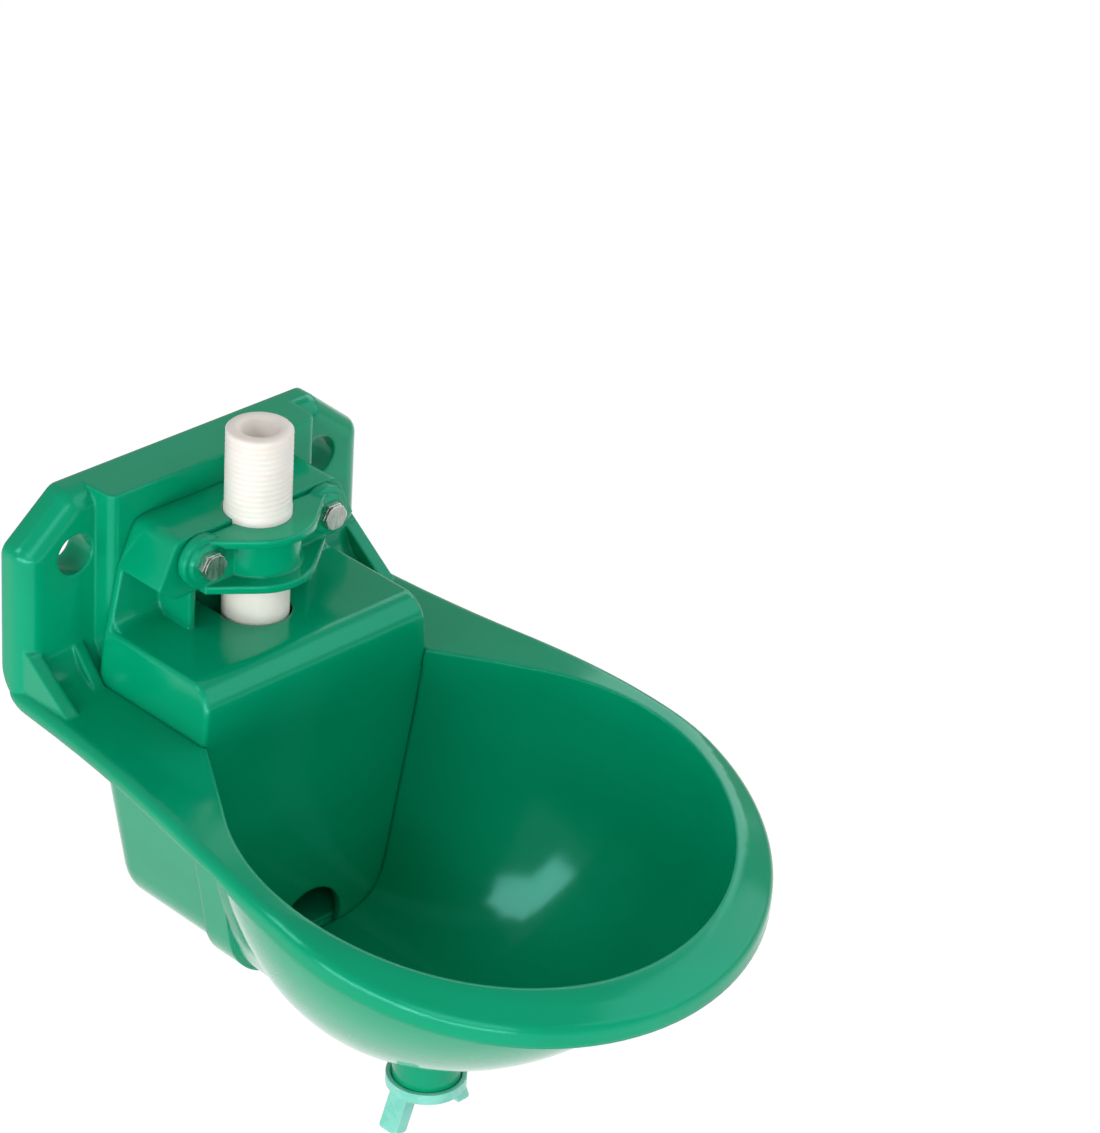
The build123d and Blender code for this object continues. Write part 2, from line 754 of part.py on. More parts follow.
washer_back = block_front - block_wall
with BuildPart() as clamp_washers:
    with BuildSketch(Plane.XZ.offset(washer_back - washer_thickness)):
        with Locations(*bolt_places):
            Circle(washer_outer)
            Circle(bolt_hole_radius, mode=Mode.SUBTRACT)
    extrude(amount=washer_thickness)
clamp_washers.part.label = "clamp_washers"
export_step(clamp_washers.part, "parts/clamp_washers.step")

with BuildPart() as clamp_nuts:
    with BuildSketch(Plane.XZ.offset(washer_back - washer_thickness - nut_height)):
        with Locations(*bolt_places):
            RegularPolygon(hexagon_radius(head_flats), 6)
            Circle(bolt_radius, mode=Mode.SUBTRACT)
    extrude(amount=nut_height)
clamp_nuts.part.label = "clamp_nuts"
export_step(clamp_nuts.part, "parts/clamp_nuts.step")

# Inlet pipe
with BuildPart() as inlet_pipe:
    with BuildSketch(Plane.XY.offset(pipe_bottom)):
        with Locations((0, pipe_y)):
            Circle(pipe_radius)
    extrude(amount=thread_bottom - pipe_bottom)
    with BuildSketch(Plane.XY.offset(thread_bottom)):
        with Locations((0, pipe_y)):
            Circle(thread_radius)
    extrude(amount=pipe_top - thread_bottom)
    with BuildSketch(Plane.XY.offset(pipe_bottom)):
        with Locations((0, pipe_y)):
            Circle(pipe_bore)
    extrude(amount=pipe_top - pipe_bottom, mode=Mode.SUBTRACT)
    chamfer(inlet_pipe.faces().sort_by(Axis.Z)[-1].edges(), pipe_end_chamfer)
inlet_pipe.part.label = "inlet_pipe"
export_step(inlet_pipe.part, "parts/inlet_pipe.step")

# Float valve body on the pipe's lower end
lug_inner = lever_thickness / 2 + gap
lug_outer = lug_inner + lug_thickness
with BuildPart() as valve_body:
    with BuildSketch(Plane.XY.offset(valve_neck_top)):
        with Locations((0, pipe_y)):
            RegularPolygon(valve_radius, 6)
    extrude(amount=valve_top - valve_neck_top)
    with BuildSketch(Plane.XY.offset(valve_floor)):
        with Locations((0, pipe_y)):
            Circle(valve_radius)
    extrude(amount=valve_neck_top - valve_floor)
    with BuildSketch(Plane.XY.offset(collar_bottom)):
        with Locations((0, pipe_y)):
            Circle(collar_radius)
    extrude(amount=valve_floor - collar_bottom)
    # Tongue and lugs for the lever
    with BuildSketch(Plane.XY.offset(valve_floor)):
        with Locations((tail_x - bury, pipe_y)):
            Rectangle(valve_radius, 2 * lug_outer, align=(Align.MIN, Align.CENTER))
    extrude(amount=valve_floor_top - valve_floor)
    for side in (-1, 1):
        with BuildSketch(Plane.XZ.offset(-pipe_y + side * (lug_inner + lug_thickness / 2))):
            with Locations((pivot_x, pivot_z)):
                Circle(lug_half_width)
                Rectangle(2 * lug_half_width, valve_floor - pivot_z + bury, align=(Align.CENTER, Align.MIN))
        extrude(amount=lug_thickness / 2, both=True)
    # Bore for the pipe, room for the plunger, guide for its stem and four water windows
    with BuildSketch(Plane.XY.offset(seat_bottom)):
        with Locations((0, pipe_y)):
            Circle(pipe_radius)
    extrude(amount=valve_top - seat_bottom, mode=Mode.SUBTRACT)
    with BuildSketch(Plane.XY.offset(valve_floor_top)):
        with Locations((0, pipe_y)):
            Circle(valve_room_radius)
    extrude(amount=seat_bottom - valve_floor_top, mode=Mode.SUBTRACT)
    with BuildSketch(Plane.XY.offset(collar_bottom)):
        with Locations((0, pipe_y)):
            Circle(stem_radius + pin_slip)
    extrude(amount=valve_floor_top - collar_bottom, mode=Mode.SUBTRACT)
    with BuildSketch(Plane.XY.offset(valve_floor_top)):
        with Locations((0, pipe_y)):
            Rectangle(3 * valve_radius, window_width)
            Rectangle(window_width, 3 * valve_radius)
    extrude(amount=window_height, mode=Mode.SUBTRACT)
    with BuildSketch(Plane.XZ.offset(-pipe_y - lug_outer)):
        with Locations((pivot_x, pivot_z)):
            Circle(pin_radius)
    extrude(amount=2 * lug_outer, mode=Mode.SUBTRACT)
valve_body.part.label = "valve_body"
export_step(valve_body.part, "parts/valve_body.step")

with BuildPart() as seat_washer:
    with BuildSketch(Plane.XY.offset(seat_top)):
        with Locations((0, pipe_y)):
            Circle(pipe_radius)
            Circle(pipe_bore, mode=Mode.SUBTRACT)
    extrude(amount=pipe_bottom - seat_top)
seat_washer.part.label = "seat_washer"
export_step(seat_washer.part, "parts/seat_washer.step")

with BuildPart() as valve_seat:
    with BuildSketch(Plane.XY.offset(seat_bottom)):
        with Locations((0, pipe_y)):
            Circle(pipe_radius)
    extrude(amount=seat_top - seat_bottom)
    with BuildSketch(Plane.XY.offset(seat_bottom)):
        with Locations((0, pipe_y)):
            Circle(nozzle_radius)
    extrude(amount=nozzle_bottom - seat_bottom, taper=nozzle_taper)
    with BuildSketch(Plane.XY.offset(nozzle_bottom)):
        with Locations((0, pipe_y)):
            Circle(orifice_radius)
    extrude(amount=seat_top - nozzle_bottom, mode=Mode.SUBTRACT)
    with BuildSketch(Plane.XY.offset(seat_top)):
        with Locations((0, pipe_y)):
            Circle(2 * orifice_radius)
    extrude(amount=-orifice_lead, mode=Mode.SUBTRACT)
valve_seat.part.label = "valve_seat"
export_step(valve_seat.part, "parts/valve_seat.step")

# Plunger with its rubber seal, lowered by its whole travel
seal_top = nozzle_bottom - plunger_travel - gap
seal_bottom = seal_top - seal_thickness
head_top = seal_bottom + seal_recess
head_bottom = valve_floor_top + gap
with BuildPart() as valve_plunger:
    with BuildSketch(Plane.XY.offset(head_bottom)):
        with Locations((0, pipe_y)):
            Circle(plunger_head_radius)
    extrude(amount=head_top - head_bottom)
    with BuildSketch(Plane.XY.offset(plunger_tip)):
        with Locations((0, pipe_y)):
            Circle(stem_radius)
    extrude(amount=head_bottom - plunger_tip)
    fillet(valve_plunger.faces().sort_by(Axis.Z)[0].edges(), stem_tip_round)
    with BuildSketch(Plane.XY.offset(seal_bottom)):
        with Locations((0, pipe_y)):
            Circle(seal_radius)
    extrude(amount=seal_recess, mode=Mode.SUBTRACT)
valve_plunger.part.label = "valve_plunger"
export_step(valve_plunger.part, "parts/valve_plunger.step")

with BuildPart() as plunger_seal:
    with BuildSketch(Plane.XY.offset(seal_bottom)):
        with Locations((0, pipe_y)):
            Circle(seal_radius)
    extrude(amount=seal_thickness)
plunger_seal.part.label = "plunger_seal"
export_step(plunger_seal.part, "parts/plunger_seal.step")

# Lever with its pin and clip
with BuildPart() as float_lever:
    with BuildSketch(Plane.XZ.offset(-pipe_y - lever_thickness / 2)):
        Polygon(
            (tail_x, valve_floor - gap),
            (tail_x + tail_thickness, valve_floor - gap),
            (tail_x + tail_thickness, lever_top),
            (foot_start_x - foot_ramp, lever_top),
            (foot_start_x + foot_ramp, foot_top),
            (foot_end_x, foot_top),
            (foot_end_x, float_top),
            (foot_start_x + foot_ramp - foot_heel, float_top),
            (foot_start_x - foot_ramp - foot_heel, lever_bottom),
            (tail_x, lever_bottom),
            align=None,
        )
        with Locations((pivot_x, pivot_z)):
            Circle(pin_radius + pin_slip, mode=Mode.SUBTRACT)
    extrude(amount=lever_thickness)
    with BuildSketch(Plane.XY.offset(float_top)):
        with Locations((screw_x, pipe_y)):
            Circle(screw_radius)
    extrude(amount=foot_top - float_top, mode=Mode.SUBTRACT)
float_lever.part.label = "float_lever"
export_step(float_lever.part, "parts/float_lever.step")

with BuildPart() as lever_pin:
    with BuildSketch(Plane.XZ.offset(-pipe_y - lug_outer - pin_overhang)):
        with Locations((pivot_x, pivot_z)):
            Circle(pin_radius)
    extrude(amount=2 * lug_outer + pin_overhang)
    with BuildSketch(Plane.XZ.offset(-pipe_y + lug_outer)):
        with Locations((pivot_x, pivot_z)):
            Circle(pin_head_radius)
    extrude(amount=pin_head_height)
lever_pin.part.label = "lever_pin"
export_step(lever_pin.part, "parts/lever_pin.step")

with BuildPart() as pin_clip:
    with BuildSketch(Plane.XZ.offset(-pipe_y - lug_outer - clip_thickness)):
        with Locations((pivot_x, pivot_z)):
            Circle(clip_radius)
            Circle(pin_radius, mode=Mode.SUBTRACT)
            Rectangle(clip_mouth, 2 * clip_radius, align=(Align.CENTER, Align.MIN), mode=Mode.SUBTRACT)
    extrude(amount=clip_thickness)
pin_clip.part.label = "pin_clip"
export_step(pin_clip.part, "parts/pin_clip.step")

# Hollow float in two mouldings, with its screw
float_x = (float_left + float_right) / 2
float_length = float_right - float_left
float_seam = float_top - float_lid_thickness
with BuildPart() as float_shell:
    with BuildSketch(Plane.XY.offset(float_bottom)):
        with Locations((float_x, float_y)):
            RectangleRounded(float_length, 2 * float_half_y, float_corner)
    extrude(amount=float_seam - float_bottom)
    fillet(float_shell.faces().sort_by(Axis.Z)[0].edges(), float_edge)
    with BuildSketch(Plane.XY.offset(float_bottom + float_skin)):
        with Locations((float_x, float_y)):
            RectangleRounded(
                float_length - 2 * float_skin, 2 * (float_half_y - float_skin), float_corner - float_skin
            )
    extrude(amount=float_seam - float_bottom - float_skin, mode=Mode.SUBTRACT)
float_shell.part.label = "float_shell"
export_step(float_shell.part, "parts/float_shell.step")

with BuildPart() as float_lid:
    with BuildSketch(Plane.XY.offset(float_seam)):
        with Locations((float_x, float_y)):
            RectangleRounded(float_length, 2 * float_half_y, float_corner)
    extrude(amount=float_lid_thickness)
    lip_inset = float_skin + gap
    with BuildSketch(Plane.XY.offset(float_seam)):
        with Locations((float_x, float_y)):
            for inset, mode in ((lip_inset, Mode.ADD), (lip_inset + float_skin, Mode.SUBTRACT)):
                RectangleRounded(
                    float_length - 2 * inset, 2 * (float_half_y - inset), float_corner - inset, mode=mode
                )
    extrude(amount=-lid_lip_depth)
    with BuildSketch(Plane.XY.offset(float_seam)):
        with Locations((screw_x, pipe_y)):
            Circle(screw_boss_radius)
    extrude(amount=-screw_length)
    with BuildSketch(Plane.XY.offset(foot_top - screw_length)):
        with Locations((screw_x, pipe_y)):
            Circle(screw_radius)
    extrude(amount=screw_length, mode=Mode.SUBTRACT)
float_lid.part.label = "float_lid"
export_step(float_lid.part, "parts/float_lid.step")

with BuildPart() as float_screw:
    with BuildSketch(Plane.XY.offset(foot_top)):
        with Locations((screw_x, pipe_y)):
            Circle(screw_head_radius)
    extrude(amount=screw_head_height)
    fillet(float_screw.faces().sort_by(Axis.Z)[-1].edges(), screw_head_round)
    with BuildSketch(Plane.XY.offset(foot_top)):
        with Locations((screw_x, pipe_y)):
            Circle(screw_radius)
    extrude(amount=-screw_length)
    with BuildSketch(Plane.XY.offset(foot_top + screw_head_height)):
        with Locations((screw_x, pipe_y)):
            Rectangle(screw_cross_length, screw_cross_width)
            Rectangle(screw_cross_width, screw_cross_length)
    extrude(amount=-screw_cross_depth, mode=Mode.SUBTRACT)
float_screw.part.label = "float_screw"
export_step(float_screw.part, "parts/float_screw.step")

# Drain plug with two finger wings, and its flat seal
shank_top = drain_seat - gap - drain_seal_thickness - gap
with BuildPart() as drain_plug:
    with BuildSketch(Plane.XY.offset(plug_rim_bottom)):
        with Locations((0, drain_y)):
            Circle(plug_rim_radius)
    extrude(amount=plug_rim_top - plug_rim_bottom)
    with BuildSketch(Plane.XY.offset(drain_boss_bottom - gap)):
        with Locations((0, drain_y)):
            Circle(drain_boss_radius + gap)
    extrude(amount=plug_rim_top - drain_boss_bottom + gap, mode=Mode.SUBTRACT)
    with BuildSketch(Plane.XY.offset(plug_rim_bottom)):
        with Locations((0, drain_y)):
            Circle(plug_shank_radius)
    extrude(amount=shank_top - plug_rim_bottom)
    with BuildSketch(Plane.XY.offset(shank_top)):
        with Locations((0, drain_y)):
            Circle(plug_neck_radius)
    extrude(amount=drain_seat - shank_top)
    with BuildSketch(Plane.XY.offset(drain_seat)):
        with Locations((0, drain_y)):
            Circle(plug_neck_radius + plug_barb)
    extrude(amount=plug_barb)
    with BuildSketch(Plane.XY.offset(plug_rim_bottom)):
        with Locations((0, drain_y)):
            Circle(plug_core_radius)
    extrude(amount=shank_top - plug_core_roof - plug_rim_bottom, mode=Mode.SUBTRACT)
    # Splayed finger wings
    for side in (-1, 1):
        with BuildSketch(Plane.XZ.offset(-drain_y - wing_width / 2)):
            with BuildLine() as wing:
                Polyline(
                    (side * wing_root_inner, plug_rim_bottom + bury),
                    (side * wing_root_outer, plug_rim_bottom + bury),
                    (side * wing_tip_outer, wing_bottom),
                    (side * wing_tip_inner, wing_bottom),
                    close=True,
                )
            make_face(wing.edges())
        extrude(amount=wing_width)
    tips = drain_plug.edges().filter_by(lambda e: e.center().Z < wing_bottom + bury)
    fillet(tips, wing_tip_round)
drain_plug.part.label = "drain_plug"
export_step(drain_plug.part, "parts/drain_plug.step")

with BuildPart() as drain_seal:
    with BuildSketch(Plane.XY.offset(shank_top + gap)):
        with Locations((0, drain_y)):
            Circle(drain_seal_radius)
            Circle(plug_neck_radius + pin_slip, mode=Mode.SUBTRACT)
    extrude(amount=drain_seal_thickness)
drain_seal.part.label = "drain_seal"
export_step(drain_seal.part, "parts/drain_seal.step")
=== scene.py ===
"""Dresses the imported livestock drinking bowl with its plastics, metal and rubber."""

import json
import math

import bpy
from mathutils import Matrix, Vector

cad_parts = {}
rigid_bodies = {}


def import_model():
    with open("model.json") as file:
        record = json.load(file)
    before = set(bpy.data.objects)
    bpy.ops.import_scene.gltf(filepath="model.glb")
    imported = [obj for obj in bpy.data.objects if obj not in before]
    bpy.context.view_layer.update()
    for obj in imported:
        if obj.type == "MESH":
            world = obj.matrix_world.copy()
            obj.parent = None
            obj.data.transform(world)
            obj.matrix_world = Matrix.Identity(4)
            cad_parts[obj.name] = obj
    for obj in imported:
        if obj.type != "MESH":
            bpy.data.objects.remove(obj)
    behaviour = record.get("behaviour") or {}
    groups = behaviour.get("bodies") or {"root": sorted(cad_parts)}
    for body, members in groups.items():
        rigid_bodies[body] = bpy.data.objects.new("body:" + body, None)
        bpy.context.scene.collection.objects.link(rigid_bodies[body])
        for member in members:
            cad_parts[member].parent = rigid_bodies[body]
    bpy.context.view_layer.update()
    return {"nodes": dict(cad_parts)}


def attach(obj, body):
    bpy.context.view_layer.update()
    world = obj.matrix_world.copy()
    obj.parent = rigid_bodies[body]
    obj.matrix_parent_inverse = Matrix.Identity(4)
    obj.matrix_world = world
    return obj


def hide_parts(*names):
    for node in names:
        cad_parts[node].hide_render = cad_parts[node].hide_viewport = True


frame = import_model()
nodes = frame["nodes"]

# Photograph: camera direction, focal length in pixels, aim and distance, all solved from its own points
PHOTO_WIDTH = 1100
PHOTO_HEIGHT = 1133
CAMERA_AZIMUTH = math.radians(-46.59)
CAMERA_ELEVATION = math.radians(30.03)
CAMERA_ROLL = math.radians(-3.76)
FOCAL_PIXELS = 4309.77
AIM_RIGHT = -0.08762
AIM_UP = 0.04210
CAMERA_DISTANCE = 1.30182
SENSOR_SIZE = 36.0

# Inlet pipe
PIPE_CENTRE_Y = -0.0381
PIPE_CREST_RADIUS = 0.01048
PIPE_PLAIN_RADIUS = 0.01065
PIPE_BORE_RADIUS = 0.0059
PIPE_BOTTOM = -0.049
PIPE_TOP = 0.0385
PIPE_THREAD_BOTTOM = 0.0120
PIPE_EDGE = 0.0006
THREAD_PITCH = 0.001814
THREAD_DEPTH = 0.00009

# Studio floor and surroundings
WHITE = (1.0, 1.0, 1.0, 1.0)
FLOOR_HEIGHT = -0.235
FLOOR_SIZE = 6.0
PAPER_GREY = (0.86, 0.86, 0.86, 1.0)
PAPER_ROUGHNESS = 0.9
PAPER_GLOW = 1.08
PAPER_GLOW_SHARE = 0.86
PAPER_GLARE = 0.1
ROOM_LIGHT = 0.33
ROOM_IN_MIRRORS = 0.25

# Studio lamps: place, target, width and height in metres, power in watts
MIDDLE = (0.0, -0.1, -0.05)
UNDERSIDE = (-0.03, -0.15, -0.09)
LAMPS = {
    "low_left": ((-1.25, -0.40, -0.02), MIDDLE, 0.9, 0.4, 6.6),
    "low_front": ((-0.85, -0.95, -0.19), UNDERSIDE, 0.8, 0.24, 5.4),
    "front_left": ((-0.75, -1.1, 0.65), MIDDLE, 0.8, 0.8, 4.2),
    "window_left": ((-0.80, 0.20, 0.66), MIDDLE, 0.36, 0.40, 2.4),
    "fill_right": ((0.95, -0.85, 0.75), MIDDLE, 1.5, 1.2, 7.0),
    "top_right": ((1.05, 0.25, 0.70), MIDDLE, 0.7, 0.7, 3.4),
}


def place_camera():
    """Camera at the photograph's viewing angle and place."""
    back = Vector((
        math.sin(CAMERA_AZIMUTH) * math.cos(CAMERA_ELEVATION),
        -math.cos(CAMERA_AZIMUTH) * math.cos(CAMERA_ELEVATION),
        math.sin(CAMERA_ELEVATION),
    ))
    level = Vector((math.cos(CAMERA_AZIMUTH), math.sin(CAMERA_AZIMUTH), 0.0))
    upright = back.cross(level)
    right = math.cos(CAMERA_ROLL) * level - math.sin(CAMERA_ROLL) * upright
    up = back.cross(right)
    aim = Vector((0.0, PIPE_CENTRE_Y, PIPE_TOP))
    place = aim - AIM_RIGHT * right - AIM_UP * up + CAMERA_DISTANCE * back
    data = bpy.data.cameras.new("photo_camera")
    data.sensor_width = SENSOR_SIZE
    data.lens = FOCAL_PIXELS * SENSOR_SIZE / max(PHOTO_WIDTH, PHOTO_HEIGHT)
    data.clip_end = 50.0
    camera = bpy.data.objects.new("photo_camera", data)
    bpy.context.scene.collection.objects.link(camera)
    turn = Matrix((right, up, back)).transposed().to_4x4()
    camera.matrix_world = Matrix.Translation(place) @ turn
    bpy.context.scene.camera = camera


class Nodes:
    """Adds nodes to a tree and feeds their inputs with plain values or with other nodes' outputs."""

    def __init__(self, tree):
        self.tree = tree

    def node(self, kind, inputs=(), **settings):
        made = self.tree.nodes.new(kind)
        for setting, value in settings.items():
            setattr(made, setting, value)
        for name, value in dict(inputs).items():
            self.feed(made.inputs[name], value)
        return made

    def feed(self, socket, value):
        if isinstance(value, bpy.types.NodeSocket):
            self.tree.links.new(value, socket)
        else:
            socket.default_value = value

    def sums(self, operation, *values):
        """The output of one math node fed with these values."""
        made = self.node("ShaderNodeMath", operation=operation)
        for socket, value in zip(made.inputs, values):
            self.feed(socket, value)
        return made.outputs[0]


class Shader(Nodes):
    """Builds one material's node tree in short steps."""

    def __init__(self, name):
        self.material = bpy.data.materials.new(name)
        self.material.use_nodes = True
        super().__init__(self.material.node_tree)
        self.surface = self.tree.nodes["Principled BSDF"]
        self.place = self.node("ShaderNodeTexCoord").outputs["Object"]

    def set(self, **values):
        """Feeds the surface's inputs, with _ for each space in their names."""
        for name, value in values.items():
            self.feed(self.surface.inputs[name.replace("_", " ")], value)

    def noise(self, scale, detail=3.0, stretch=(1.0, 1.0, 1.0)):
        """Noise from 0 to 1, in cycles per metre of the row frame."""
        mapped = self.node("ShaderNodeMapping", {"Vector": self.place, "Scale": stretch}).outputs[0]
        inputs = {"Vector": mapped, "Scale": scale, "Detail": detail}
        return self.node("ShaderNodeTexNoise", inputs).outputs["Fac"]

    def spread(self, value, low, high, start=0.3, end=0.7):
        """The value, moved from start..end to low..high."""
        inputs = {"Value": value, "From Min": start, "From Max": end, "To Min": low, "To Max": high}
        return self.node("ShaderNodeMapRange", inputs).outputs["Result"]

    def mix(self, share, first, second):
        """The first colour, changed by this share into the second."""
        made = self.node("ShaderNodeMix", data_type="RGBA")
        self.feed(made.inputs["Factor"], share)
        self.feed(made.inputs[6], first)
        self.feed(made.inputs[7], second)
        return made.outputs[2]

    def edges(self, radius):
        """1 along sharp edges within this radius, 0 on flat places."""
        rounded = self.node("ShaderNodeBevel", {"Radius": radius}, samples=4).outputs[0]
        plain = self.node("ShaderNodeNewGeometry").outputs["Normal"]
        compared = self.node("ShaderNodeVectorMath", {0: rounded, 1: plain}, operation="DOT_PRODUCT")
        return self.spread(compared.outputs["Value"], 1.0, 0.0, 0.90, 0.995)

    def relief(self, height, depth, radius):
        """Bump of this depth in metres, over edges rounded to this radius."""
        rounded = self.node("ShaderNodeBevel", {"Radius": radius}, samples=6).outputs[0]
        inputs = {"Height": height, "Distance": depth, "Normal": rounded}
        self.set(Normal=self.node("ShaderNodeBump", inputs).outputs[0])


def moulded_green():
    """Glossy injection-moulded green plastic, with flow shades, faint ripple, scuffs, and paler edges that are
    a painted highlight.
    """
    shader = Shader("moulded_green_plastic")
    flow = shader.noise(9.0, 4.0, (1.0, 1.0, 2.4))
    deep = (0.0, 0.268, 0.124, 1.0)
    fresh = (0.0, 0.325, 0.158, 1.0)
    colour = shader.mix(shader.spread(flow, 0.0, 1.0), deep, fresh)
    # Paler green along sharp edges, broken up by noise: a painted highlight, not wear.
    painted_edge_highlight = shader.sums("MULTIPLY", shader.edges(0.0011), shader.spread(shader.noise(120.0), 0.3, 0.7))
    colour = shader.mix(painted_edge_highlight, colour, (0.01, 0.42, 0.24, 1.0))
    shader.set(Base_Color=colour, IOR=1.49, Specular_Tint=(0.32, 1.0, 0.95, 1.0))
    scuff = shader.noise(420.0, 5.0, (1.0, 0.25, 1.0))
    shader.set(Roughness=shader.sums("ADD", shader.spread(scuff, 0.0, 0.05), shader.spread(flow, 0.09, 0.14)))
    grain = shader.sums("MULTIPLY", shader.noise(900.0, 2.0), 0.05)
    shader.relief(shader.sums("ADD", shader.noise(38.0, 1.0), grain), 0.00018, 0.0016)
    return shader.material


def pipe_white():
    """Off-white turned plastic, slightly waxy, with turning lines and faint handling marks."""
    shader = Shader("pipe_white_plastic")
    tone = shader.spread(shader.noise(60.0, 3.0), 0.0, 1.0)
    shader.set(Base_Color=shader.mix(tone, (0.80, 0.755, 0.70, 1.0), (0.85, 0.815, 0.775, 1.0)))
    shader.set(IOR=1.46, Subsurface_Weight=0.25, Subsurface_Scale=0.003)
    turned = shader.noise(500.0, 2.0, (0.02, 0.02, 1.0))
    shader.set(Roughness=shader.spread(turned, 0.34, 0.46))
    shader.relief(turned, 0.00003, 0.0004)
    return shader.material


def plug_mint():
    """Translucent mint-green plastic of the drain plug."""
    shader = Shader("plug_mint_plastic")
    cloud = shader.noise(90.0, 3.0)
    tone = shader.spread(cloud, 0.0, 1.0)
    shader.set(Base_Color=shader.mix(tone, (0.16, 0.56, 0.46, 1.0), (0.25, 0.68, 0.58, 1.0)))
    shader.set(IOR=1.48, Subsurface_Weight=0.45, Subsurface_Scale=0.004)
    shader.set(Roughness=shader.spread(cloud, 0.22, 0.34))
    shader.relief(shader.noise(260.0, 2.0), 0.00006, 0.0006)
    return shader.material


def float_grey():
    """Matt moulded float plastic."""
    shader = Shader("float_grey_plastic")
    cloud = shader.noise(45.0, 4.0)
    tone = shader.spread(cloud, 0.0, 1.0)
    shader.set(Base_Color=shader.mix(tone, (0.58, 0.60, 0.58, 1.0), (0.68, 0.69, 0.66, 1.0)))
    shader.set(Roughness=shader.spread(cloud, 0.48, 0.60))
    shader.relief(shader.noise(1500.0, 2.0), 0.00004, 0.0006)
    return shader.material


def plated_steel():
    """Zinc-plated steel with fine rolling lines and brighter edges."""
    shader = Shader("plated_steel")
    grain = shader.noise(1400.0, 4.0, (1.0, 1.0, 0.2))
    patch = shader.spread(shader.noise(240.0, 3.0), 0.0, 1.0)
    base = shader.mix(patch, (0.46, 0.45, 0.43, 1.0), (0.66, 0.66, 0.65, 1.0))
    shader.set(Base_Color=shader.mix(shader.edges(0.0004), base, (0.82, 0.82, 0.80, 1.0)), Metallic=1.0)
    shader.set(Roughness=shader.spread(grain, 0.20, 0.38))
    shader.relief(grain, 0.00004, 0.0003)
    return shader.material


def seat_brass():
    """Turned brass of the valve seat."""
    shader = Shader("turned_brass")
    turned = shader.noise(900.0, 3.0, (0.05, 0.05, 1.0))
    shader.set(Base_Color=shader.mix(turned, (0.60, 0.42, 0.15, 1.0), (0.76, 0.57, 0.26, 1.0)), Metallic=1.0)
    shader.set(Roughness=shader.spread(turned, 0.22, 0.36))
    shader.relief(turned, 0.00002, 0.0003)
    return shader.material


def seal_rubber():
    """Black rubber of washers and seals."""
    shader = Shader("seal_black_rubber")
    grain = shader.noise(1800.0, 3.0)
    bloom = shader.noise(120.0)
    shader.set(Base_Color=shader.mix(bloom, (0.018, 0.018, 0.019, 1.0), (0.035, 0.035, 0.034, 1.0)))
    shader.set(Roughness=shader.spread(grain, 0.62, 0.80))
    shader.relief(grain, 0.00003, 0.0003)
    return shader.material


class Steps(Nodes):
    """Builds one geometry tree in short steps."""

    socket_kinds = {float: "NodeSocketFloat", int: "NodeSocketInt", type(None): "NodeSocketMaterial"}

    def __init__(self, name, sizes):
        super().__init__(bpy.data.node_groups.new(name, "GeometryNodeTree"))
        self.tree.interface.new_socket("Geometry", in_out="OUTPUT", socket_type="NodeSocketGeometry")
        self.ids = {}
        for label, value in sizes.items():
            kind = self.socket_kinds[type(value)]
            socket = self.tree.interface.new_socket(label, in_out="INPUT", socket_type=kind)
            if value is not None:
                socket.default_value = value
            self.ids[label] = socket.identifier
        self.start = self.tree.nodes.new("NodeGroupInput")
        self.end = self.tree.nodes.new("NodeGroupOutput")

    def size(self, label):
        """The size that the tree is given under this label."""
        return self.start.outputs[label]

    def choose(self, index, *values):
        """The value whose place in the row is the index."""
        made = self.node("GeometryNodeIndexSwitch", data_type="FLOAT")
        while len(made.index_switch_items) < len(values):
            made.index_switch_items.new()
        self.feed(made.inputs["Index"], index)
        for place, value in enumerate(values):
            self.feed(made.inputs[str(place)], value)
        return made.outputs[0]

    def finish(self, mesh):
        """Ends the tree with this mesh in its material."""
        real = self.node("GeometryNodeRealizeInstances", {"Geometry": mesh}).outputs[0]
        painted = self.node("GeometryNodeSetMaterial", {"Geometry": real, "Material": self.size("Material")})
        self.tree.links.new(painted.outputs[0], self.end.inputs[0])


def grown(name, steps, sizes):
    """A plain mesh object grown by a geometry tree, with the modifier gone."""
    carrier = bpy.data.objects.new(name + "_carrier", bpy.data.meshes.new(name + "_carrier"))
    bpy.context.scene.collection.objects.link(carrier)
    modifier = carrier.modifiers.new("grow", "NODES")
    modifier.node_group = steps.tree
    for label, value in sizes.items():
        modifier[steps.ids[label]] = value
    bpy.context.view_layer.update()
    evaluated = carrier.evaluated_get(bpy.context.evaluated_depsgraph_get())
    mesh = bpy.data.meshes.new_from_object(evaluated)
    mesh.name = name
    bpy.data.objects.remove(carrier)
    piece = bpy.data.objects.new(name, mesh)
    bpy.context.scene.collection.objects.link(piece)
    return piece


